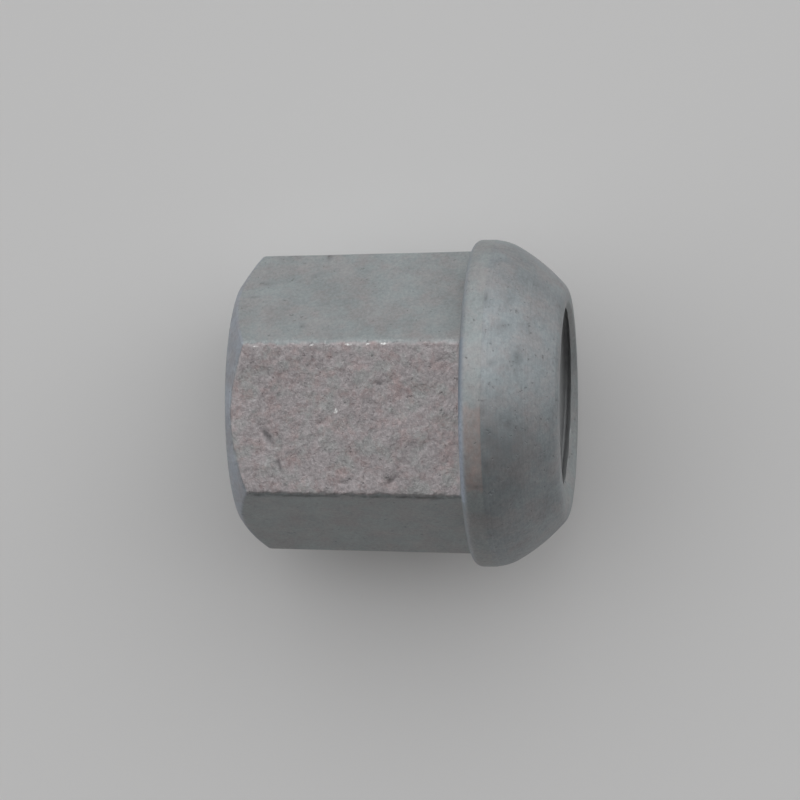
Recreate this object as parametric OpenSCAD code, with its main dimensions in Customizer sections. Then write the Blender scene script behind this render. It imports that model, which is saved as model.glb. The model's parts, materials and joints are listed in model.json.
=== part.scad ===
// Lug nut with a ball seat: a forged hex body, a round collar and a turned seat, threaded right through.
// It lies on its side as it comes to rest, on one flat of the hex and on the back edge of the collar.
// Lengths are in millimetres and angles in degrees. X runs along the nut toward its seat and Z is up.

/* [Hex body] */
// Width across the flats, where they meet the collar
across_flats = 19; // [17:0.25:20]
// Length of the hex, from the outer end to the collar
hex_length = 16.75; // [10:0.25:28]
// Draft of each flat, which narrows the hex toward its outer end
flat_draft = 0.9; // [0:0.1:1.5]
// Height taken off each sharp corner of the hex
corner_relief = 0.06; // [0.02:0.01:0.3]
// How far the chamfer round the outer end reaches in from the flats
chamfer_in = 0.64; // [0.2:0.02:1.2]
// Slope of that chamfer, measured from the end's plane
chamfer_slope = 36; // [20:1:50]

/* [Collar] */
// Diameter of the collar
collar_d = 23.4; // [23:0.1:28]
// Width of the collar's rim, from its back face to the edge of the seat
rim_width = 2.2; // [1.8:0.1:6]
// Rounding of the back edge of the rim
rim_edge_r = 0.6; // [0.2:0.1:0.8]

/* [Seat] */
// How much the radius of the seat's ball exceeds the collar's radius
seat_over = 1.3; // [0.8:0.1:4]
// Rounding between the rim and the seat
seat_edge_r = 3.5; // [0.5:0.5:4]
// Width of the flat ring at the end of the seat, before its outer edge is rounded
end_ring = 1; // [0.8:0.1:2]
// Rounding of that edge
end_edge_r = 1.2; // [0.2:0.1:1.6]

/* [Thread] */
// Nominal diameter of the stud's thread
thread_d = 14; // [10:0.5:14.5]
// Pitch of the thread
thread_pitch = 1.5; // [1:0.25:2]
// How much wider than the thread the mouths of the hole are
mouth_extra = 0.4; // [0.1:0.1:0.8]
// Full angle of the countersink at each mouth
mouth_angle = 120; // [90:5:140]

/* [Hidden] */
$fn = 160;
zinc_grey = [0.57, 0.58, 0.58];
flats = 6;

// Hole at the thread's inner diameter, and its mouths
bore_d = thread_d - 1.0825 * thread_pitch;
mouth_r = (thread_d + mouth_extra) / 2;

// Distance from a flat to the axis, at a height above the outer end
function flat_r(z) = across_flats / 2 - (hex_length - z) * tan(flat_draft);

// Radii of the flat outer end, the collar, the ball and the end of the seat
outer_face_r = flat_r(0) - chamfer_in;
collar_r = collar_d / 2;
seat_r = collar_r + seat_over;
seat_end_r = mouth_r + end_ring;

// Height and radius where the end chamfer meets a side that stands at r and leans outward by lean
function chamfer_top_r(r, lean) =
    (r - outer_face_r * tan(chamfer_slope) * lean) / (1 - tan(chamfer_slope) * lean);
function chamfer_top_z(r, lean) =
    (chamfer_top_r(r, lean) - outer_face_r) * tan(chamfer_slope);

// Blunt corner of the hex, at the outer end's plane and at the collar
half_side = 180 / flats;
flat_lean = tan(flat_draft);
corner_lean = flat_lean / cos(half_side);
corner_outer_r = flat_r(0) / cos(half_side) - corner_relief;
corner_collar_r = flat_r(hex_length) / cos(half_side) - corner_relief;

// Places that come from square roots are kept to a thousandth of a millimetre
function to_micron(length) = ceil(length * 1000) / 1000;

// Ball of the seat, with the heights of its centre and of its end
seat_z = to_micron(hex_length + rim_width - sqrt(pow(seat_r, 2) - pow(collar_r, 2)));
nut_length = to_micron(seat_z + sqrt(pow(seat_r, 2) - pow(seat_end_r, 2)));

// Centres of the roundings, which touch the ball from inside
seat_edge_x = collar_r - seat_edge_r;
seat_edge_z = to_micron(seat_z + sqrt(pow(seat_r - seat_edge_r, 2) - pow(seat_edge_x, 2)));
end_edge_z = nut_length - end_edge_r;
end_edge_x = to_micron(sqrt(pow(seat_r - end_edge_r, 2) - pow(end_edge_z - seat_z, 2)));

// Lean at rest: the ground touches the outer end of a flat and the rounded back edge of the rim
heel_r = chamfer_top_r(flat_r(0), flat_lean);
heel_z = chamfer_top_z(flat_r(0), flat_lean);
rim_up = hex_length + rim_edge_r - heel_z;
rim_out = collar_r - rim_edge_r - heel_r;
rest_lean = atan2(rim_out, rim_up) + asin(rim_edge_r / norm([rim_up, rim_out]));
rest_z = heel_r * cos(rest_lean) - heel_z * sin(rest_lean);

// Extent along X at rest, which puts the origin under the middle of the nut
rest_x_min = -outer_face_r * sin(rest_lean);
rest_x_max = end_edge_z * cos(rest_lean) + end_edge_x * sin(rest_lean) + end_edge_r;
rest_x = -(rest_x_min + rest_x_max) / 2;

// Half section of the hex's blank, with its end chamfer and blunt corners
module hex_section() {
    corner_z = chamfer_top_z(corner_outer_r, corner_lean);
    corner_r = chamfer_top_r(corner_outer_r, corner_lean);
    inside_collar = hex_length + rim_width / 2;
    polygon([
        [0, 0],
        [outer_face_r, 0],
        [corner_r, corner_z],
        [corner_collar_r, hex_length],
        [corner_collar_r, inside_collar],
        [0, inside_collar],
    ]);
}

// What rounding an edge takes away, between two directions seen from the rounding's centre
module edge_waste(centre, r, from, to) {
    reach = 2 * r;
    translate(centre)
        difference() {
            polygon([
                [0, 0],
                [reach * cos(from), reach * sin(from)],
                [reach * cos(to), reach * sin(to)],
            ]);
            circle(r = r);
        }
}

// Half section of the collar and the ball seat, with their edges rounded
module collar_section() {
    ball_at_rim = atan2(seat_edge_z - seat_z, seat_edge_x);
    ball_at_end = atan2(end_edge_z - seat_z, end_edge_x);
    difference() {
        intersection() {
            translate([0, hex_length])
                square([collar_r, nut_length - hex_length]);
            translate([0, seat_z])
                circle(r = seat_r);
        }
        edge_waste([collar_r - rim_edge_r, hex_length + rim_edge_r], rim_edge_r, -90, 0);
        edge_waste([seat_edge_x, seat_edge_z], seat_edge_r, 0, ball_at_rim);
        edge_waste([end_edge_x, end_edge_z], end_edge_r, ball_at_end, 90);
    }
}

// The turned blank, standing on its outer end
module blank() {
    rotate_extrude()
        union() {
            hex_section();
            collar_section();
        }
}

// What is cut away beside one flat, up to the back face of the collar
module flat_waste() {
    clear = collar_d;
    rotate([90, 0, 0])
        linear_extrude(height = clear, center = true)
            polygon([
                [flat_r(-clear), -clear],
                [clear, -clear],
                [clear, hex_length],
                [flat_r(hex_length), hex_length],
            ]);
}

// Countersink at a mouth of the hole, opening downward at the origin
module mouth_waste() {
    spread = tan(mouth_angle / 2);
    wide_r = 2 * mouth_r;
    translate([0, 0, -(wide_r - mouth_r) / spread])
        cylinder(r1 = wide_r, r2 = 0, h = wide_r / spread);
}

// The hole for the stud, right through, at the thread's inner diameter
module stud_hole() {
    translate([0, 0, -nut_length])
        cylinder(d = bore_d, h = 3 * nut_length);
    mouth_waste();
    translate([0, 0, nut_length])
        mirror([0, 0, 1])
            mouth_waste();
}

// The nut, from its blank to its place on the ground
module lug_nut() {
    color(zinc_grey)
        translate([rest_x, 0, rest_z])
            rotate([0, 90 - rest_lean, 0])
                difference() {
                    blank();
                    for (side = [0 : flats - 1])
                        rotate([0, 0, side * 360 / flats])
                            flat_waste();
                    stud_hole();
                }
}

lug_nut();
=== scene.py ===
"""A zinc-coated lug nut lying on its side on a pale floor, seen from almost straight above."""

import json
import math
from collections import namedtuple

import bmesh
import bpy
import numpy as np
from mathutils import Matrix, Vector, noise


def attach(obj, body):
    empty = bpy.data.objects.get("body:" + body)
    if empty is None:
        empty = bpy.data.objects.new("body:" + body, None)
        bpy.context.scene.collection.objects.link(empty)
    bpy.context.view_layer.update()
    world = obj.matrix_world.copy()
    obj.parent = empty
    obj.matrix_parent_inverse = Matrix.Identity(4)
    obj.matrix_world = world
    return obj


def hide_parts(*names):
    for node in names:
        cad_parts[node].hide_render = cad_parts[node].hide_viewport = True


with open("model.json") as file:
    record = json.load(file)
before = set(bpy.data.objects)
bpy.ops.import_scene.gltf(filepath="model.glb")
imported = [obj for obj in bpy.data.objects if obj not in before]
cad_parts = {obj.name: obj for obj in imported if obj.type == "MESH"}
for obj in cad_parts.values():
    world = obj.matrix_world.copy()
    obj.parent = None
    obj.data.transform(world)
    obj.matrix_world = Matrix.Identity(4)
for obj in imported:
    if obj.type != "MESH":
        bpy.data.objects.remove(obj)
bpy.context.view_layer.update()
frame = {"record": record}

MM = 0.001

# Sizes of the nut in millimetres, the same as those of the solid
SIDES = 6
ACROSS_FLATS = 19.0
HEX_LENGTH = 16.75
FLAT_DRAFT = math.radians(0.9)
CHAMFER_IN = 0.64
CHAMFER_SLOPE = math.radians(36)
COLLAR_R = 11.7
RIM_WIDTH = 2.2
RIM_EDGE_R = 0.6
SEAT_R = COLLAR_R + 1.3
SEAT_EDGE_R = 3.5
END_RING = 1.0
END_EDGE_R = 1.2
THREAD_R = 7.0
THREAD_PITCH = 1.5
THREAD_DEPTH = 0.54125 * THREAD_PITCH
MOUTH_R = 7.2
MOUTH_SLOPE = math.radians(60)

# Worked out from the sizes above
HALF_SIDE = math.pi / SIDES
OUTER_FACE_R = ACROSS_FLATS / 2 - HEX_LENGTH * math.tan(FLAT_DRAFT) - CHAMFER_IN
BORE_R = THREAD_R - THREAD_DEPTH
SEAT_Z = HEX_LENGTH + RIM_WIDTH - math.sqrt(SEAT_R**2 - COLLAR_R**2)
NUT_LENGTH = SEAT_Z + math.sqrt(SEAT_R**2 - (MOUTH_R + END_RING)**2)

# Small roundings that only the surface has
CORNER_R = 0.35
EDGE_CUT = 0.22
SHARP_EDGE = math.radians(38)

# Where the turned cut of the seat starts, and how deep it is at its edge
TURNED_FROM = 18.34
TURNED_STEP = 0.03

# The nut's own axes: along the thread, across it, and up from the flat it lies on
mounts = {mount["name"]: mount for mount in frame["record"]["mounts"]}
thread_mid = Vector(mounts["stud_thread"]["pos_m"])
outer_ring = Vector(mounts["outer_end"]["pos_m"])
ALONG = Vector(mounts["stud_thread"]["axis"]).normalized()
ACROSS = Vector((0, 1, 0))
UPWARD = ALONG.cross(ACROSS)
OUTER_END = thread_mid + ALONG * (outer_ring - thread_mid).dot(ALONG)


def to_world(points):
    """Points given along, across and up in millimetres, in the row's frame in metres."""
    axes = np.array([ALONG, ACROSS, UPWARD])
    return np.array(OUTER_END) + (points * MM) @ axes


def section_points(along, radius, angle):
    """Points along, across and up, from heights, radii and angles."""
    return np.stack([along, radius * np.sin(angle), radius * np.cos(angle)], axis=1)


def smooth(low, high, value):
    """0 below low, 1 above high, and a soft step between."""
    share = np.clip((value - low) / (high - low), 0, 1)
    return share * share * (3 - 2 * share)


def band(value, middle, half_width):
    """1 in the middle of a band, and soft toward 0 beyond its half width."""
    return np.exp(-((value - middle) / half_width)**2)


def signed(angle):
    """The same angle, between half a turn back and half a turn on."""
    return (angle + math.pi) % (2 * math.pi) - math.pi


def from_flat_middle(angle):
    """Angle from the middle of the nearest flat."""
    return np.abs((angle + HALF_SIDE) % (2 * HALF_SIDE) - HALF_SIDE)


# Columns of the mesh on the rough upper flat, on each other flat and round each corner
TOP_COLUMNS = 108
FLAT_COLUMNS = 40
CORNER_COLUMNS = 8


def column_angles():
    """Angles round the nut from the upper flat: even along each flat, and close together at each corner."""
    apothem = ACROSS_FLATS / 2
    straight = (apothem - CORNER_R) * math.tan(HALF_SIDE)
    turn = HALF_SIDE - math.atan2(straight, apothem)
    angles = []
    for side in range(SIDES):
        count = TOP_COLUMNS if side == 0 else FLAT_COLUMNS
        middle = side * 2 * HALF_SIDE
        for place in np.linspace(-straight, straight, count):
            angles.append(middle + math.atan2(place, apothem))
        corner = middle + HALF_SIDE
        for step in range(1, CORNER_COLUMNS + 1):
            angles.append(corner + turn * (2 * step / (CORNER_COLUMNS + 1) - 1))
    return np.array(angles)


PHI = column_angles()


def hex_radius(along):
    """Distance of the hex from the axis in every column, with its corners rounded."""
    apothem = ACROSS_FLATS / 2 - (HEX_LENGTH - along) * math.tan(FLAT_DRAFT)
    off_middle = from_flat_middle(PHI)
    on_flat = apothem / np.cos(off_middle)
    off_corner = HALF_SIDE - off_middle
    centre = (apothem - CORNER_R) / math.cos(HALF_SIDE)
    reach = np.maximum(CORNER_R**2 - (centre * np.sin(off_corner))**2, 0)
    on_corner = centre * np.cos(off_corner) + np.sqrt(reach)
    straight = np.arctan2((apothem - CORNER_R) * math.tan(HALF_SIDE), apothem)
    return np.where(off_middle <= straight, on_flat, on_corner)


# Numbers of rows on each stretch of the nut's section, and in the roundings between them
FACE_ROWS = 5
FACE_EDGE_ROWS = 4
CHAMFER_ROWS = 6
HEX_EDGE_ROWS = 5
FLAT_ROWS = 86
BACK_ROWS = 2
RIM_EDGE_ROWS = 8
RIM_ROWS = 4
BLEND_ROWS = 9
BALL_ROWS = 24
END_EDGE_ROWS = 8
END_RING_ROWS = 2

# Rows at the turned step, and the half turn they take and the room after them, in radians
STEP_ROWS = 5
STEP_HALF_TURN = 0.012
STEP_ROOM = 0.04

# A rounding takes less than half of the stretch on either side of it
MOST_CUT = 0.45

# Rounds of working out where the chamfer meets the leaning flats
CHAMFER_ROUNDS = 4


def straight_rows(start, end, count):
    """Rows between two rows, without them."""
    steps = np.arange(1, count + 1) / (count + 1)
    return [start + (end - start) * step for step in steps]


def bent_rows(before, corner, after, count):
    """Rows that round off a corner, from a little before it to a little after it."""
    back = before - corner
    onward = after - corner
    back_length = np.linalg.norm(back, axis=1, keepdims=True)
    onward_length = np.linalg.norm(onward, axis=1, keepdims=True)
    cut = np.minimum(EDGE_CUT, MOST_CUT * np.minimum(back_length, onward_length))
    first = corner + back / back_length * cut
    last = corner + onward / onward_length * cut
    rows = []
    for step in np.linspace(0, 1, count):
        rows.append((1 - step)**2 * first + 2 * step * (1 - step) * corner + step**2 * last)
    return rows


def ring(along, radius):
    """One row, as height along the axis and radius in every column."""
    return np.stack([np.broadcast_to(along, PHI.shape), np.broadcast_to(radius, PHI.shape)], axis=1)


def arc_rows(centre_along, centre_r, radius, angles):
    """Rows round an arc of the turned section, by angles from the radial direction."""
    rows = []
    for angle in angles:
        rows.append(ring(centre_along + radius * math.sin(angle), centre_r + radius * math.cos(angle)))
    return rows


def chamfer_edge():
    """The row where the chamfer meets the flats."""
    reach = hex_radius(0.0)
    for _ in range(CHAMFER_ROUNDS):
        top = (reach - OUTER_FACE_R) * math.tan(CHAMFER_SLOPE)
        reach = hex_radius(0.0) + top * math.tan(FLAT_DRAFT)
    return np.stack([top, reach], axis=1)


def hex_rows():
    """Rows of the outer end, the chamfer, the flats and the back of the collar."""
    mouth = ring(0.0, MOUTH_R)
    face = ring(0.0, OUTER_FACE_R)
    chamfer = chamfer_edge()
    root = ring(HEX_LENGTH, hex_radius(HEX_LENGTH))
    back = ring(HEX_LENGTH, COLLAR_R - RIM_EDGE_R)
    at_face = bent_rows(mouth, face, chamfer, FACE_EDGE_ROWS)
    at_chamfer = bent_rows(face, chamfer, root, HEX_EDGE_ROWS)
    at_root = bent_rows(chamfer, root, back, HEX_EDGE_ROWS)
    rows = straight_rows(mouth, at_face[0], FACE_ROWS) + at_face
    rows += straight_rows(at_face[-1], at_chamfer[0], CHAMFER_ROWS) + at_chamfer
    rows += straight_rows(at_chamfer[-1], at_root[0], FLAT_ROWS) + at_root
    return rows + straight_rows(at_root[-1], back, BACK_ROWS)


def blend_angles(edge_up, ball_start):
    """Angles of the rows from the rim to the ball, close together at the turned step."""
    step = math.asin((TURNED_FROM - SEAT_Z - edge_up) / SEAT_EDGE_R)
    at_step = np.linspace(step - STEP_HALF_TURN, step + STEP_HALF_TURN, STEP_ROWS)
    return np.concatenate([[0, step / 2], at_step, np.linspace(step + STEP_ROOM, ball_start, BLEND_ROWS)])


def collar_rows():
    """Rows of the rim, the ball seat and the flat ring at its end."""
    edge_r = COLLAR_R - SEAT_EDGE_R
    edge_up = math.sqrt((SEAT_R - SEAT_EDGE_R)**2 - edge_r**2)
    end_along = NUT_LENGTH - END_EDGE_R
    end_r = math.sqrt((SEAT_R - END_EDGE_R)**2 - (end_along - SEAT_Z)**2)
    ball_start = math.atan2(edge_up, edge_r)
    ball_end = math.atan2(end_along - SEAT_Z, end_r)
    quarter = math.pi / 2
    rim_angles = np.linspace(-quarter, 0, RIM_EDGE_ROWS)
    rim = arc_rows(HEX_LENGTH + RIM_EDGE_R, COLLAR_R - RIM_EDGE_R, RIM_EDGE_R, rim_angles)
    blend = arc_rows(SEAT_Z + edge_up, edge_r, SEAT_EDGE_R, blend_angles(edge_up, ball_start))
    ball = arc_rows(SEAT_Z, 0.0, SEAT_R, np.linspace(ball_start, ball_end, BALL_ROWS))
    end = arc_rows(end_along, end_r, END_EDGE_R, np.linspace(ball_end, quarter, END_EDGE_ROWS))
    mouth = ring(NUT_LENGTH, MOUTH_R)
    rows = rim + straight_rows(rim[-1], blend[0], RIM_ROWS) + blend + ball[1:] + end[1:]
    return rows + straight_rows(end[-1], mouth, END_RING_ROWS)


def path_lengths(rows):
    """Millimetres along the nut's section from the first row to each row, the same in every column."""
    middle = [row.mean(axis=0) for row in rows]
    lengths = [0.0]
    for before, after in zip(middle, middle[1:]):
        lengths.append(lengths[-1] + np.linalg.norm(after - before))
    return np.repeat(lengths, len(PHI))


# Thread of the hole, as shares of a pitch: half its flat crest, half its flat root, the place of its flank's
# middle, how far before their corners crest and root start to round off, and how far past them that ends
CREST = 0.125
ROOT = 0.0625
FLANK = 0.28
CREST_ROUND = 0.02
ROOT_ROUND = 0.03
PAST_CORNER = 0.01

# How far the points past the rounded corners stand off the crest and the root, in millimetres
CREST_OFF = 0.04
ROOT_OFF = 0.03

HALF_SECTION = [
    (0.0, BORE_R),
    (CREST - CREST_ROUND, BORE_R),
    (CREST + PAST_CORNER, BORE_R + CREST_OFF),
    (FLANK, (BORE_R + THREAD_R) / 2),
    (0.5 - ROOT - PAST_CORNER, THREAD_R - ROOT_OFF),
    (0.5 - ROOT + ROOT_ROUND, THREAD_R),
]
THREAD_SECTION = HALF_SECTION + [(1 - share, radius) for share, radius in reversed(HALF_SECTION[1:])]

# Place of a crest's middle over the upper flat, as a share of a pitch from the outer end
THREAD_START = 0.06

# The countersinks and the start of the thread in them are made of plain rings
RUN_IN = 0.66
RUN_IN_RINGS = 15
HELIX_MARGIN = 0.01

# How far outside the countersink's cone the thread lies where a point starts to count as thread, and where it
# fully does, in millimetres
THREAD_FADE = (0.0, 0.12)

# How far painted shade darkens one side of each countersink, the side turned from the light, and the bottom
# of the thread's groove
MOUTH_SHADE = 0.25
MOUTH_FADE = (-0.3, 0.6)
GROOVE_SHADE = 0.55
GROOVE_FADE = (BORE_R + 0.2, THREAD_R)


def thread_radius(along, angle):
    """Radius of the right-hand thread at a height and an angle."""
    share = (along / THREAD_PITCH - THREAD_START + angle / (2 * math.pi)) % 1
    shares = [place for place, _ in THREAD_SECTION] + [1.0]
    radii = [radius for _, radius in THREAD_SECTION] + [BORE_R]
    return np.interp(share, shares, radii)


def thread_column(angle):
    """Numbers, heights and radii of the points down one column of the thread, between the countersinks."""
    turns = math.ceil(NUT_LENGTH / THREAD_PITCH) + 2
    per_turn = len(THREAD_SECTION)
    points = []
    for turn in range(-1, turns + 1):
        for step, (share, radius) in enumerate(THREAD_SECTION):
            along = THREAD_PITCH * (turn + share + THREAD_START - angle / (2 * math.pi))
            if RUN_IN + HELIX_MARGIN < along < NUT_LENGTH - RUN_IN - HELIX_MARGIN:
                points.append((turn * per_turn + step, along, radius))
    return points


def mouth_rings(angles, at_seat):
    """Points of a countersink from its mouth inward, and how far each belongs to the thread."""
    rows = []
    shares = []
    for depth in np.linspace(0, RUN_IN, RUN_IN_RINGS):
        along = NUT_LENGTH - depth if at_seat else depth
        thread = thread_radius(along, angles)
        cone = MOUTH_R - depth * math.tan(MOUTH_SLOPE)
        rows.append(section_points(np.full(len(angles), along), np.maximum(thread, cone), angles))
        shares.append(smooth(*THREAD_FADE, thread - cone))
    return np.concatenate(rows), np.concatenate(shares)


def helix_grid(angles, first):
    """Points of the thread, and the numbers of those in each column."""
    points = []
    columns = []
    for angle in angles:
        column = {}
        for number, along, radius in thread_column(angle):
            column[number] = first + len(points)
            points.append((along, radius * math.sin(angle), radius * math.cos(angle)))
        columns.append(column)
    return np.array(points), columns


def grid_faces(first, row_count, column_count):
    """Faces between rows of points, each closed round the axis."""
    faces = []
    for row in range(row_count - 1):
        start = first + row * column_count
        for column in range(column_count):
            here = start + column
            there = start + (column + 1) % column_count
            faces.append((here, there, there + column_count, here + column_count))
    return faces


def mouth_faces(edge, mouth):
    """Faces from an edge row of the skin to a mouth's ring, which has half as many points."""
    faces = []
    for here in range(len(mouth)):
        there = (here + 1) % len(mouth)
        a, b, c = edge[2 * here], edge[2 * here + 1], edge[2 * there]
        faces += [(a, b, mouth[here]), (b, c, mouth[there]), (mouth[here], b, mouth[there])]
    return faces


def thread_faces(columns, first_ring, last_ring):
    """Faces between the columns of the thread, and from them to the innermost rings of the countersinks."""
    faces = []
    per_turn = len(THREAD_SECTION)
    count = len(columns)
    for here in range(count):
        there = (here + 1) % count
        shift = per_turn if there == 0 else 0
        left = columns[here]
        right = {number + shift: vertex for number, vertex in columns[there].items()}
        low, high = min(left), max(left)
        low_right, high_right = min(right), max(right)
        for number in range(max(low, low_right), min(high, high_right)):
            faces.append((left[number], right[number], right[number + 1], left[number + 1]))
        faces.append((first_ring[here], first_ring[there], right[low_right], left[low]))
        for number in range(low, low_right):
            faces.append((left[number], right[low_right], left[number + 1]))
        faces.append((left[high], right[high_right], last_ring[there], last_ring[here]))
        for number in range(high, high_right):
            faces.append((left[high], right[number], right[number + 1]))
    return faces


def hole_shade_share(points, thread):
    """How dark the painted shade makes the points of the hole, on one side of the mouths and in the groove.
    """
    across, up = points[:, 1], points[:, 2]
    at_mouth = MOUTH_SHADE * smooth(*MOUTH_FADE, np.sin(np.arctan2(across, up))) * (1 - thread)
    in_groove = GROOVE_SHADE * smooth(*GROOVE_FADE, np.hypot(across, up)) * thread
    return at_mouth + in_groove


Hole = namedtuple("Hole", "points faces first_mouth last_mouth layers")


def make_hole(angles, first):
    """The threaded hole from mouth to mouth, with its points numbered from first."""
    count = len(angles)
    first_rings, first_share = mouth_rings(angles, at_seat=False)
    last_rings, last_share = mouth_rings(angles, at_seat=True)
    last = first + len(first_rings)
    helix, columns = helix_grid(angles, last + len(last_rings))
    inward = (RUN_IN_RINGS - 1) * count
    first_inner = range(first + inward, first + inward + count)
    last_inner = range(last + inward, last + inward + count)
    faces = grid_faces(first, RUN_IN_RINGS, count) + grid_faces(last, RUN_IN_RINGS, count)
    faces += thread_faces(columns, first_inner, last_inner)
    points = np.concatenate([first_rings, last_rings, helix])
    thread = np.concatenate([first_share, last_share, np.ones(len(helix))])
    layers = {"thread": thread, "hole_shade": hole_shade_share(points, thread)}
    return Hole(points, faces, range(first, first + count), range(last, last + count), layers)


# Kinds of unevenness: height, size of the largest features and depth of the middle, in millimetres, and a
# shift that takes each to another place in the noise
Relief = namedtuple("Relief", "height size sink shift")
FORGED_LUMPS = Relief(height=0.032, size=0.8, sink=0.013, shift=0.0)
FORGED_WAVES = Relief(height=0.030, size=3.2, sink=0.010, shift=5.3)
RAGGED_EDGE = Relief(height=0.060, size=0.7, sink=0.020, shift=11.3)
SKIN_WAVES = Relief(height=0.012, size=4.0, sink=0.014, shift=77.1)
RIM_WAVES = Relief(height=0.004, size=0.6, sink=0.005, shift=43.9)
DENT_BEND = Relief(height=0.160, size=0.55, sink=0.0, shift=21.7)
UNEVEN_BORDER = Relief(height=0.100, size=0.5, sink=0.0, shift=0.0)

# The rough skin's lumps are a little longer across the nut than along it
GRAIN_STRETCH = (1.15, 0.80, 1.0)

# Noise of each kind: how much weaker and finer each octave is, and how many there are
OCTAVE_FALL = 1.0
OCTAVE_STEP = 2.0
OCTAVES = 2


def uneven(points, relief):
    """Soft uneven heights at points."""
    waves = []
    for place in points + relief.shift:
        waves.append(noise.fractal(Vector(place) / relief.size, OCTAVE_FALL, OCTAVE_STEP, OCTAVES))
    return relief.height * np.array(waves) - relief.sink


# Marks that the forging left on the upper flat: place along and across, half length, half width, turn, depth
DENTS = [
    (3.17, -1.31, 0.80, 0.21, -53, 0.10),
    (3.91, -3.28, 0.45, 0.14, -80, 0.10),
    (3.75, -2.60, 0.22, 0.16, 0, 0.04),
    (6.72, -0.25, 0.32, 0.16, 20, 0.05),
    (6.80, -1.32, 0.30, 0.12, 30, 0.05),
    (7.12, -2.28, 0.22, 0.14, 60, 0.05),
    (8.62, -4.45, 0.38, 0.12, 25, 0.06),
    (11.06, 2.48, 0.20, 0.17, 0, 0.09),
    (11.72, -4.40, 0.42, 0.15, 40, 0.08),
    (15.28, 4.01, 0.55, 0.10, 30, 0.05),
]

# Dark marks on the rest of the skin, the last three broad and soft as painted shade that carries the seat's
# dark lower side further up: place along, degrees round, half length, half width, strength
MARKS_AND_SHADE = [
    (2.30, 70.6, 0.45, 0.22, 0.6),
    (1.52, 60.9, 0.35, 0.12, 0.6),
    (5.46, 39.3, 0.17, 0.17, 1.0),
    (5.58, 75.8, 0.22, 0.20, 0.6),
    (6.35, 88.3, 0.16, 0.35, 0.9),
    (18.46, 45.1, 0.17, 0.55, 0.7),
    (19.04, 20.3, 0.25, 0.25, 0.6),
    (19.73, 35.1, 0.30, 0.30, 0.5),
    (20.72, 23.9, 0.25, 0.40, 0.7),
    (20.18, -0.9, 0.25, 0.30, 0.5),
    (18.50, 3.6, 0.22, 0.35, 0.7),
    (18.62, -14.8, 0.22, 0.60, 0.6),
    (18.03, -23.0, 0.50, 0.18, 0.7),
    # Painted shade on the seat, just above its dark lower side
    (18.90, -3.0, 0.70, 1.00, 0.40),
    (19.60, -8.0, 0.80, 1.00, 0.35),
    (20.50, -9.0, 0.80, 0.90, 0.25),
]

# Painted highlights on the upper flat, near-white glints on spots taken as bare steel: place along and
# across, half length and half width
GLINTS = [
    (8.00, 0.52, 0.15, 0.24),
    (11.43, 5.22, 0.30, 0.10),
    (10.30, 5.18, 0.22, 0.08),
    (8.95, 5.15, 0.34, 0.09),
    (6.40, 5.12, 0.28, 0.07),
    (2.40, 5.02, 0.30, 0.05),
    (4.10, -4.95, 0.10, 0.12),
    (11.20, 1.60, 0.10, 0.10),
]


def dent_depth(points):
    """Depth of the forging marks at points of the upper flat, with uneven outlines."""
    bend = uneven(points, DENT_BEND)
    depth = np.zeros(len(points))
    for along, across, half_long, half_wide, turn, deep in DENTS:
        cos, sin = math.cos(math.radians(turn)), math.sin(math.radians(turn))
        x, y = points[:, 0] - along + bend, points[:, 1] - across - bend
        depth += deep * band(x * cos + y * sin, 0, half_long) * band(y * cos - x * sin, 0, half_wide)
    return depth


def mark_and_shade_share(skin):
    """How dark the marks and the painted shade of the skin are at its points."""
    share = np.zeros(len(skin.along))
    for place, degrees, half_long, half_wide, strength in MARKS_AND_SHADE:
        off = signed(skin.angle - math.radians(degrees)) * skin.radius
        mark_and_shade = strength * band(skin.along, place, half_long) * band(off, 0, half_wide)
        share = np.maximum(share, mark_and_shade)
    return share


def glint_share(points):
    """How strongly the painted highlight of the glints, on bare spots, lies on the upper flat at points."""
    share = np.zeros(len(points))
    for along, across, half_long, half_wide in GLINTS:
        glint = band(points[:, 0], along, half_long) * band(points[:, 1], across, half_wide)
        share = np.maximum(share, glint)
    return share


# Where the zones of the skin fade in, from nothing to full, in millimetres along the nut or from its axis
HEX_END_FADE = (HEX_LENGTH - 0.18, HEX_LENGTH - 0.02)
FLAT_END_FADE = (HEX_LENGTH - 1.4, HEX_LENGTH - 0.3)
RIM_FADE = (HEX_LENGTH + 0.2, HEX_LENGTH + 0.6)
SEAT_FADE = (TURNED_FROM - 0.04, TURNED_FROM + 0.04)
FACE_FADE = (OUTER_FACE_R - 0.1, OUTER_FACE_R + 0.2)
BACK_FADE = (COLLAR_R - 1.0, COLLAR_R - 0.6)
UNDER_FADE = (1.4, 2.4)

# The same over the chamfer's cone, where its border is smooth at first and then uneven
CHAMFER_FADE = (0.02, 0.14)
CHAMFER_RAGGED = (0.05, 0.15)

# The same round the nut, in radians, and how uneven those borders are
TOP_FADE = (HALF_SIDE - 0.020, HALF_SIDE + 0.004)
TOP_RAGGED = 0.16
LIP_FADE = (-0.05, 0.20)
STAIN_FROM = math.radians(-21)
STAIN_TO = math.radians(2)
STAIN_SOFT = math.radians(5)
STAIN_RAGGED = 0.8

# The same by depth of the dents and by share of the rough flat
DENT_FADE = (0.01, 0.08)
GLINT_FADE = (0.2, 0.6)

# Half width of the worn corners, which are lighter partly from wear and partly as painted highlight, and
# place and half width of the dark line of painted shade below the rough flat's lower corner
CORNER_WEAR = 0.25
UNDER_PLACE = 0.18
UNDER_WIDTH = 0.16

# Place and half width of the blue line on the collar's back edge, a blue tint darkened as painted shade of
# the crease between hex and collar, and its strength away from the rough flat
BACK_EDGE_PLACE = HEX_LENGTH + 0.12
BACK_EDGE_WIDTH = 0.20
BACK_EDGE_REST = 0.4

Skin = namedtuple("Skin", "along radius angle points ragged")


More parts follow.
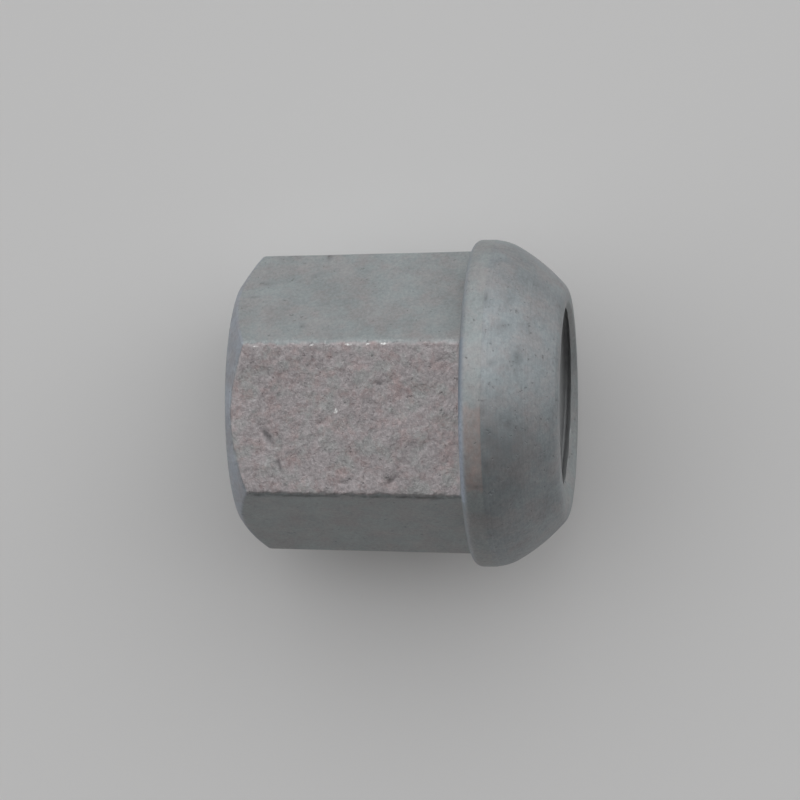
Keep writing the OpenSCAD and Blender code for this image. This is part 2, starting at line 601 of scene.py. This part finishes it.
def skin_grid(rows):
    """Heights, radii, angles and places of the skin's points, with noise that makes borders uneven."""
    along = np.concatenate([row[:, 0] for row in rows])
    radius = np.concatenate([row[:, 1] for row in rows])
    angle = np.tile(PHI, len(rows))
    points = section_points(along, radius, angle)
    return Skin(along, radius, angle, points, uneven(points, UNEVEN_BORDER))


def top_share(skin):
    """How far points lie within the width of the upper flat."""
    return 1 - smooth(*TOP_FADE, np.abs(signed(skin.angle)) + TOP_RAGGED * skin.ragged)


def chamfer_share(skin):
    """How far points belong to the chamfer or the outer face."""
    cone = np.maximum(skin.radius - OUTER_FACE_R, 0) * math.tan(CHAMFER_SLOPE)
    over = skin.along - cone
    return 1 - smooth(*CHAMFER_FADE, over + skin.ragged * smooth(*CHAMFER_RAGGED, over))


def hex_zones(skin):
    """How far points belong to each zone of the hexagon, from 0 to 1."""
    top = top_share(skin)
    chamfer = chamfer_share(skin)
    hexagon = (1 - chamfer) * (1 - smooth(*HEX_END_FADE, skin.along))
    from_corner = (HALF_SIDE - from_flat_middle(skin.angle)) * skin.radius
    from_top_corner = (np.abs(signed(skin.angle)) - HALF_SIDE) * skin.radius
    below_top = signed(-skin.angle - HALF_SIDE) * skin.radius
    under = band(below_top + skin.ragged, UNDER_PLACE, UNDER_WIDTH)
    return {
        "hexagon": hexagon,
        "forged": top * hexagon,
        "flat_end_light": top * hexagon * smooth(*FLAT_END_FADE, skin.along),
        "ragged": hexagon * band(from_top_corner, 0, CORNER_WEAR),
        "edge": hexagon * band(from_corner, 0, CORNER_WEAR),
        "under": hexagon * under * smooth(*UNDER_FADE, skin.along),
        "chamfer": chamfer * smooth(*FACE_FADE, skin.radius),
    }


def collar_zones(skin):
    """How far points belong to each zone of the collar, and to the turned parts of both ends, from 0 to 1."""
    top = top_share(skin)
    turn = signed(skin.angle)
    rim = smooth(*RIM_FADE, skin.along)
    seat = smooth(*SEAT_FADE, skin.along)
    back_edge = band(skin.along, BACK_EDGE_PLACE, BACK_EDGE_WIDTH) * smooth(*BACK_FADE, skin.radius)
    stain_turn = turn + STAIN_RAGGED * skin.ragged
    stained = smooth(STAIN_FROM - STAIN_SOFT, STAIN_FROM, stain_turn)
    stained *= 1 - smooth(STAIN_TO, STAIN_TO + STAIN_SOFT, stain_turn)
    return {
        "rim": rim,
        "seat": seat,
        "turned": np.maximum(seat, chamfer_share(skin)),
        "stain": rim * (1 - seat) * stained,
        "back_edge": back_edge * (BACK_EDGE_REST + (1 - BACK_EDGE_REST) * top),
        # A pale blue painted highlight on the collar's back edge, beside the lower part of the rough flat
        "lip_highlight": back_edge * top * (1 - smooth(*LIP_FADE, turn + skin.ragged)),
    }


def skin_relief(points, zone, dents):
    """Height of the skin over the plain shape: forged lumps and marks, a ragged edge, a turned step."""
    forged = uneven(points * GRAIN_STRETCH, FORGED_LUMPS) + uneven(points, FORGED_WAVES) - dents
    return (zone["forged"] * forged
            + zone["ragged"] * uneven(points, RAGGED_EDGE)
            + zone["hexagon"] * uneven(points, SKIN_WAVES)
            + zone["rim"] * (1 - zone["seat"]) * uneven(points, RIM_WAVES)
            - zone["seat"] * TURNED_STEP)


def make_skin(rows):
    """Points of the nut's outside with its relief, and what the material reads there."""
    skin = skin_grid(rows)
    zone = {**hex_zones(skin), **collar_zones(skin)}
    dents = dent_depth(skin.points)
    relief = skin_relief(skin.points, zone, dents)
    points = section_points(skin.along, skin.radius + relief, skin.angle)
    zone["mark_and_shade"] = mark_and_shade_share(skin)
    # Painted shade in the forging dents, darker where they are deeper
    zone["low"] = zone["forged"] * smooth(*DENT_FADE, dents)
    zone["glint"] = smooth(*GLINT_FADE, zone["forged"] + zone["ragged"]) * glint_share(points)
    zone["path"] = path_lengths(rows)
    return points, zone


# What the material reads at the points of the outside, and at those of the hole
SKIN_LAYERS = (
    "forged", "edge", "turned", "chamfer", "back_edge", "flat_end_light", "lip_highlight", "under", "stain", "mark_and_shade", "low",
    "glint", "path",
)
HOLE_LAYERS = ("thread", "hole_shade")


def closed_mesh(name, points, faces):
    """A smooth mesh whose faces all look outward."""
    mesh = bpy.data.meshes.new(name)
    mesh.from_pydata(points.tolist(), [], faces)
    work = bmesh.new()
    work.from_mesh(mesh)
    bmesh.ops.recalc_face_normals(work, faces=work.faces)
    work.to_mesh(mesh)
    work.free()
    mesh.shade_smooth()
    mesh.set_sharp_from_angle(angle=SHARP_EDGE)
    return mesh


def store(mesh, name, values):
    """Keep one number for each point of a mesh, for the material to read."""
    layer = mesh.attributes.new(name, "FLOAT", "POINT")
    layer.data.foreach_set("value", values.astype(np.float32))


def make_nut():
    """The nut as one closed mesh, with the zones of its skin stored at its points."""
    rows = hex_rows() + collar_rows()
    skin, zone = make_skin(rows)
    hole = make_hole(PHI[::2], len(skin))
    first_row = range(len(PHI))
    last_row = range(len(skin) - len(PHI), len(skin))
    faces = grid_faces(0, len(rows), len(PHI))
    faces += mouth_faces(first_row, hole.first_mouth) + mouth_faces(last_row, hole.last_mouth)
    points = np.concatenate([skin, hole.points])
    mesh = closed_mesh("lug_nut_surface", to_world(points), faces + hole.faces)
    for name in SKIN_LAYERS:
        store(mesh, name, np.concatenate([zone[name], np.zeros(len(hole.points))]))
    for name in HOLE_LAYERS:
        store(mesh, name, np.concatenate([np.zeros(len(skin)), hole.layers[name]]))
    return add_object("lug_nut_surface", mesh)


def add_object(name, data):
    """A new object in the scene."""
    thing = bpy.data.objects.new(name, data)
    bpy.context.scene.collection.objects.link(thing)
    return thing


class Graph:
    """Short calls for the nodes of a material."""

    def __init__(self, name):
        self.material = bpy.data.materials.new(name)
        self.material.use_nodes = True
        self.tree = self.material.node_tree
        self.shader = self.tree.nodes["Principled BSDF"]

    def put(self, socket, value):
        """Link a socket to another, or set its value."""
        if isinstance(value, bpy.types.NodeSocket):
            self.tree.links.new(value, socket)
        else:
            socket.default_value = value

    def add(self, kind, inputs, **settings):
        """A new node with its settings and inputs."""
        node = self.tree.nodes.new(kind)
        for key, value in settings.items():
            setattr(node, key, value)
        for key, value in inputs.items():
            self.put(node.inputs[key], value)
        return node

    def place(self):
        """Position on the object, in metres."""
        return self.add("ShaderNodeTexCoord", {}).outputs["Object"]

    def stretched(self, vector, scale):
        """A position scaled along each axis."""
        return self.add("ShaderNodeVectorMath", {0: vector, 1: scale}, operation="MULTIPLY").outputs["Vector"]

    def attribute(self, name):
        """A number kept at the mesh's points."""
        return self.add("ShaderNodeAttribute", {}, attribute_name=name).outputs["Fac"]

    def math(self, operation, a, b):
        """Two numbers put together."""
        return self.add("ShaderNodeMath", {0: a, 1: b}, operation=operation).outputs[0]

    def times(self, first, *others):
        """The product of several numbers."""
        for other in others:
            first = self.math("MULTIPLY", first, other)
        return first

    def total(self, first, *others):
        """The sum of several numbers."""
        for other in others:
            first = self.math("ADD", first, other)
        return first

    def between(self, value, low, high, out_low=0.0, out_high=1.0):
        """A number moved from one range to another, and held inside it."""
        inputs = {0: value, 1: low, 2: high, 3: out_low, 4: out_high}
        return self.add("ShaderNodeMapRange", inputs, clamp=True).outputs[0]

    def change(self, share, start, end):
        """A number that goes from start to end as a share goes from 0 to 1."""
        return self.between(share, 0, 1, start, end)

    def swing(self, value, low, high):
        """The middle range of a noise, moved to go from low to high."""
        return self.between(value, 0.3, 0.7, low, high)

    def noise(self, vector, size, detail, roughness):
        """Cloudy noise whose features are about size millimetres."""
        inputs = {"Vector": vector, "Scale": 1 / (size * MM), "Detail": detail, "Roughness": roughness}
        return self.add("ShaderNodeTexNoise", inputs).outputs["Fac"]

    def line_noise(self, position, size, detail):
        """Noise that changes only along one measure, in millimetres."""
        inputs = {"W": position, "Scale": 1 / size, "Detail": detail}
        return self.add("ShaderNodeTexNoise", inputs, noise_dimensions="1D").outputs["Fac"]

    def mix(self, share, a, b):
        """One colour laid over another."""
        node = self.add("ShaderNodeMix", {}, data_type="RGBA")
        self.put(node.inputs["Factor"], share)
        self.put(node.inputs[6], a)
        self.put(node.inputs[7], b)
        return node.outputs[2]

    def coats(self, colour, layers):
        """A colour with others laid over it in turn, each by its share."""
        for share, tint in layers:
            colour = self.mix(share, colour, tint)
        return colour

    def shade(self, colour, tone):
        """A colour made lighter or darker by a number about 1."""
        inputs = {0: colour, "Scale": tone}
        return self.add("ShaderNodeVectorMath", inputs, operation="SCALE").outputs["Vector"]


ZINC_SKIN = (0.308, 0.331, 0.335, 1)
ZINC_FORGED = (0.412, 0.372, 0.377, 1)
ZINC_TURNED = (0.307, 0.332, 0.345, 1)
ZINC_WARM = (0.352, 0.322, 0.320, 1)
ZINC_OLIVE = (0.345, 0.362, 0.352, 1)
ZINC_LILAC_LIT = (0.360, 0.385, 0.440, 1)
ZINC_BRIGHT = (0.560, 0.555, 0.550, 1)
BLUE_CREASE_SHADE = (0.225, 0.285, 0.370, 1)
PALE_BLUE_HIGHLIGHT = (0.420, 0.450, 0.520, 1)
BARE_STEEL_GLINT = (0.950, 0.940, 0.920, 1)
BARE_AND_LIT_THREAD = (0.470, 0.470, 0.475, 1)
RUST_TINT = (0.390, 0.265, 0.255, 1)
RUST_BROWN = (0.390, 0.322, 0.306, 1)
# Dark for dirt, and for painted shade in the dents, below the rough flat's lower corner, on the seat and in
# the hole
GRIME_AND_SHADE = (0.070, 0.070, 0.073, 1)

# Noises of the zinc: size of the largest features in millimetres, detail and roughness
ZINC_NOISES = {
    "clouds": (2.40, 5.0, 0.60),
    "pores": (0.42, 3.0, 0.70),
    "fine": (0.12, 2.0, 0.55),
    "stains": (1.70, 5.0, 0.65),
    "warm": (2.10, 4.0, 0.60),
    "olive": (1.45, 3.0, 0.60),
    "rust": (1.10, 4.0, 0.70),
    "under_shade_noise": (1.50, 4.0, 0.70),
    "rubbed": (1.90, 2.0, 0.55),
}

# The same for noises that are stretched with the rough skin's lumps
STRETCHED_NOISES = {
    "lumps": (0.75, 3.0, 0.60),
    "grain": (0.26, 4.0, 0.72),
}

# Turning marks: their width in millimetres and their detail
RING_WIDTH = 0.17
RING_DETAIL = 3.0


def zinc_noises(g, zone):
    """The zinc's noises by name, and the specks, the rubbed corners with their painted highlight and the
    painted glints on bare spots made from them.
    """
    place = g.place()
    stretched = g.stretched(place, GRAIN_STRETCH)
    noises = {name: g.noise(place, *values) for name, values in ZINC_NOISES.items()}
    noises.update({name: g.noise(stretched, *values) for name, values in STRETCHED_NOISES.items()})
    noises["rings"] = g.line_noise(zone["path"], RING_WIDTH, RING_DETAIL)
    noises["specks"] = g.between(g.total(noises["pores"], g.times(zone["turned"], 0.01)), 0.64, 0.71)
    rubbed = g.between(noises["rubbed"], 0.44, 0.60)
    noises["worn"] = g.times(zone["edge"], rubbed, g.between(noises["grain"], 0.52, 0.66))
    glint = g.times(zone["glint"], g.between(noises["fine"], 0.35, 0.6, 0.5, 1.0))
    noises["bare"] = g.between(glint, 0.35, 0.6)
    return noises


def zinc_tints(g, zone, noises):
    """The clean zinc's colours and its rust, in the order in which they are laid on."""
    warm = g.between(noises["warm"], 0.44, 0.62, 0.0, 0.45)
    olive = g.between(noises["olive"], 0.48, 0.62, 0.0, 0.5)
    rust = g.between(noises["rust"], 0.48, 0.74, 0.0, 0.6)
    stain = g.between(noises["lumps"], 0.35, 0.65, 0.35, 0.95)
    return [
        (zone["forged"], ZINC_FORGED),
        (zone["turned"], ZINC_TURNED),
        # A lighter lilac on the chamfer: partly its own tint, partly painted light
        (g.times(zone["chamfer"], 0.7), ZINC_LILAC_LIT),
        (g.times(warm, g.change(zone["forged"], 1.0, 0.0)), ZINC_WARM),
        (g.times(olive, zone["forged"]), ZINC_OLIVE),
        (g.times(rust, g.change(zone["forged"], 0.25, 1.0)), RUST_TINT),
        (g.times(stain, zone["stain"]), RUST_BROWN),
    ]


def zinc_tone(g, zone, noises):
    """How much lighter or darker the zinc is than its colour, as a number about 1."""
    forged = zone["forged"]
    return g.total(
        g.swing(noises["clouds"], 0.89, 1.11),
        g.times(g.swing(noises["lumps"], -0.05, 0.05), forged),
        g.times(g.swing(noises["grain"], -1.0, 1.0), g.change(forged, 0.13, 0.25)),
        # Painted light on the rough flat's end by the collar, set against the shade there
        g.times(zone["flat_end_light"], 0.14),
        g.swing(noises["fine"], -0.03, 0.03),
        g.times(g.swing(noises["rings"], -0.03, 0.03), zone["turned"]),
    )


def zinc_wear(g, zone, noises):
    """Dirt and painted shade, the blue back edge with painted crease shade and a painted highlight, rubbed
    corners and bare spots with painted highlights, and the hole with painted light and shade, in the order
    they are laid on.
    """
    grain = noises["grain"]
    stains = g.times(g.between(noises["stains"], 0.50, 0.70), zone["turned"])
    under_shade_noise = g.between(noises["under_shade_noise"], 0.40, 0.62, 0.1, 0.8)
    return [
        (g.times(noises["specks"], g.change(zone["turned"], 0.45, 0.35)), GRIME_AND_SHADE),
        (g.times(stains, 0.20), GRIME_AND_SHADE),
        (g.times(zone["mark_and_shade"], g.between(grain, 0.38, 0.58, 0.15, 0.8)), GRIME_AND_SHADE),
        # Painted shade in the forging dents
        (g.times(zone["low"], g.between(grain, 0.35, 0.6, 0.4, 0.75)), GRIME_AND_SHADE),
        # A ragged dark line of painted shade just below the rough flat's lower corner, on the flat turned
        # from the light
        (g.times(zone["under"], under_shade_noise), GRIME_AND_SHADE),
        # Blue tint and painted shade in the crease where the hex meets the collar
        (g.times(zone["back_edge"], 0.6), BLUE_CREASE_SHADE),
        # Pale blue painted highlight along the collar's back edge
        (g.times(zone["lip_highlight"], g.between(grain, 0.40, 0.58, 0.4, 1.0)), PALE_BLUE_HIGHLIGHT),
        # Rubbed corners, lighter partly from wear and partly as a painted highlight along the edges
        (g.times(noises["worn"], 0.30), ZINC_BRIGHT),
        # Near-white painted highlights at the glints
        (g.times(noises["bare"], 0.85), BARE_STEEL_GLINT),
        # The thread: bare steel, made lighter still as painted light inside the hole
        (g.times(zone["thread"], 0.8), BARE_AND_LIT_THREAD),
        # Painted shade in the hole: one side of each countersink and the bottom of the thread's groove
        (g.times(zone["hole_shade"], g.swing(noises["lumps"], 0.6, 1.0)), GRIME_AND_SHADE),
    ]


def zinc_roughness(g, zone, noises):
    """Dull all over, and less so where the zinc is turned, rubbed or bare."""
    return g.total(
        g.swing(noises["clouds"], 0.50, 0.56),
        g.times(zone["turned"], -0.02),
        g.times(noises["worn"], -0.10),
        g.times(noises["bare"], -0.18),
    )


def zinc_height(g, zone, noises):
    """Fine relief that the mesh is too coarse for, in millimetres."""
    forged = zone["forged"]
    return g.total(
        g.times(noises["lumps"], forged, 0.105),
        g.times(noises["grain"], g.change(forged, 0.012, 0.050)),
        g.times(noises["fine"], g.change(forged, 0.010, 0.014)),
        g.times(noises["rings"], 0.004),
        g.times(noises["specks"], -0.020),
    )


def zinc_material():
    """Dull zinc on forged steel: pitted on the rough flat, finely ringed on the turned seat."""
    g = Graph("zinc_steel")
    zone = {name: g.attribute(name) for name in SKIN_LAYERS + HOLE_LAYERS}
    noises = zinc_noises(g, zone)
    colour = g.coats(ZINC_SKIN, zinc_tints(g, zone, noises))
    colour = g.shade(colour, zinc_tone(g, zone, noises))
    colour = g.coats(colour, zinc_wear(g, zone, noises))
    height = zinc_height(g, zone, noises)
    bump = g.add("ShaderNodeBump", {"Strength": 1.0, "Distance": MM, "Height": height})
    g.put(g.shader.inputs["Base Color"], colour)
    g.put(g.shader.inputs["Metallic"], g.change(zone["turned"], 0.52, 0.62))
    g.put(g.shader.inputs["Roughness"], zinc_roughness(g, zone, noises))
    g.put(g.shader.inputs["Normal"], bump.outputs["Normal"])
    return g.material


FLOOR_COLOUR = (0.72, 0.703, 0.697, 1)
FLOOR_ROUGHNESS = 0.7
FLOOR_SPECULAR = 0.2

# Radius of the floor in metres, wide enough for every view, and the number of its sides
FLOOR_R = 3.0
FLOOR_SIDES = 96


def floor_material():
    """Plain pale matt floor."""
    g = Graph("floor_matt")
    g.shader.inputs["Base Color"].default_value = FLOOR_COLOUR
    g.shader.inputs["Roughness"].default_value = FLOOR_ROUGHNESS
    g.shader.inputs["Specular IOR Level"].default_value = FLOOR_SPECULAR
    return g.material


def make_floor():
    """A round pale floor under the nut."""
    turns = [2 * math.pi * side / FLOOR_SIDES for side in range(FLOOR_SIDES)]
    points = [(FLOOR_R * math.cos(turn), FLOOR_R * math.sin(turn), 0) for turn in turns]
    mesh = bpy.data.meshes.new("floor")
    mesh.from_pydata(points, [], [tuple(range(FLOOR_SIDES))])
    mesh.materials.append(floor_material())
    floor = add_object("floor", mesh)


# The photograph's view: distance, and lens and sensor, in millimetres
CAMERA_DISTANCE = 253.0
CAMERA_LENS = 158.4
CAMERA_SENSOR = 36
CAMERA_CLIP = (0.01, 20)

# How far the view leans from straight above toward the seat and toward the light, in radians
LEAN_TO_SEAT = 0.1338
LEAN_TO_LIGHT = 0.1142

# The point of the axis that the camera stands over, and how far beside and above it the picture's middle lies
VIEW_ALONG = 12.0
PIXELS_PER_MM = 13.913
AIM_ASIDE = 10.885 / PIXELS_PER_MM
AIM_ABOVE = 3.184 / PIXELS_PER_MM


def make_camera():
    """The photograph's view: a long lens almost straight above, a little toward the light."""
    about = Vector(to_world(np.array([[VIEW_ALONG, 0.0, 0.0]]))[0])
    back = (ALONG * math.sin(LEAN_TO_SEAT)
            + ACROSS * math.cos(LEAN_TO_SEAT) * math.sin(LEAN_TO_LIGHT)
            + UPWARD * math.cos(LEAN_TO_SEAT) * math.cos(LEAN_TO_LIGHT))
    right = (ALONG - back * ALONG.dot(back)).normalized()
    up = back.cross(right)
    place = about + back * CAMERA_DISTANCE * MM
    aim = about - right * AIM_ASIDE * MM + up * AIM_ABOVE * MM
    view = (place - aim).normalized()
    right = (right - view * right.dot(view)).normalized()
    up = view.cross(right)
    data = bpy.data.cameras.new("camera")
    data.sensor_width = CAMERA_SENSOR
    data.lens = CAMERA_LENS
    data.clip_start, data.clip_end = CAMERA_CLIP
    camera = add_object("camera", data)
    camera.matrix_world = Matrix((right, up, view)).transposed().to_4x4()
    camera.location = place
    bpy.context.scene.camera = camera


# Soft lamps: name, place and size in metres, power in watts, colour
LAMPS = [
    ("window", (-0.05, 0.28, 0.34), 0.45, 0.08, (0.98, 1.0, 1.01)),
    ("fill", (0.40, 0.12, 0.12), 0.25, 0.05, (1.0, 1.0, 1.0)),
]
LAMP_AIM = (0, 0, 0.01)

# The room: the way to its bright side, the colours of its two sides, and how far their change reaches
WINDOW_WAY = (-0.17, 0.985, 0.0)
WINDOW_SIDE = (1.17, 1.20, 1.21, 1)
ROOM_SIDE = (0.112, 0.109, 0.108, 1)
WINDOW_REACH = 0.40


def make_lamp(name, place, size, power, colour):
    """A soft square lamp that faces the nut."""
    data = bpy.data.lights.new(name, "AREA")
    data.shape = "SQUARE"
    data.size = size
    data.energy = power
    data.color = colour
    lamp = add_object(name, data)
    lamp.location = place
    lamp.visible_camera = False
    lamp.rotation_euler = (Vector(LAMP_AIM) - Vector(place)).to_track_quat("-Z", "Y").to_euler()


def make_room():
    """A soft world that is brighter on the window's side."""
    world = bpy.data.worlds.new("room")
    bpy.context.scene.world = world
    world.use_nodes = True
    tree = world.node_tree
    way = tree.nodes.new("ShaderNodeTexCoord")
    toward = tree.nodes.new("ShaderNodeVectorMath")
    toward.operation = "DOT_PRODUCT"
    toward.inputs[1].default_value = WINDOW_WAY
    share = tree.nodes.new("ShaderNodeMapRange")
    share.interpolation_type = "SMOOTHSTEP"
    share.inputs["From Min"].default_value = -WINDOW_REACH
    share.inputs["From Max"].default_value = WINDOW_REACH
    colour = tree.nodes.new("ShaderNodeMix")
    colour.data_type = "RGBA"
    colour.inputs[6].default_value = ROOM_SIDE
    colour.inputs[7].default_value = WINDOW_SIDE
    tree.links.new(way.outputs["Generated"], toward.inputs[0])
    tree.links.new(toward.outputs["Value"], share.inputs["Value"])
    tree.links.new(share.outputs["Result"], colour.inputs["Factor"])
    tree.links.new(colour.outputs[2], tree.nodes["Background"].inputs["Color"])


nut = make_nut()
nut.data.materials.append(zinc_material())
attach(nut, "root")
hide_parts("lug_nut")
make_floor()
make_camera()
make_room()
for lamp in LAMPS:
    make_lamp(*lamp)
bpy.context.scene.view_settings.view_transform = "Standard"
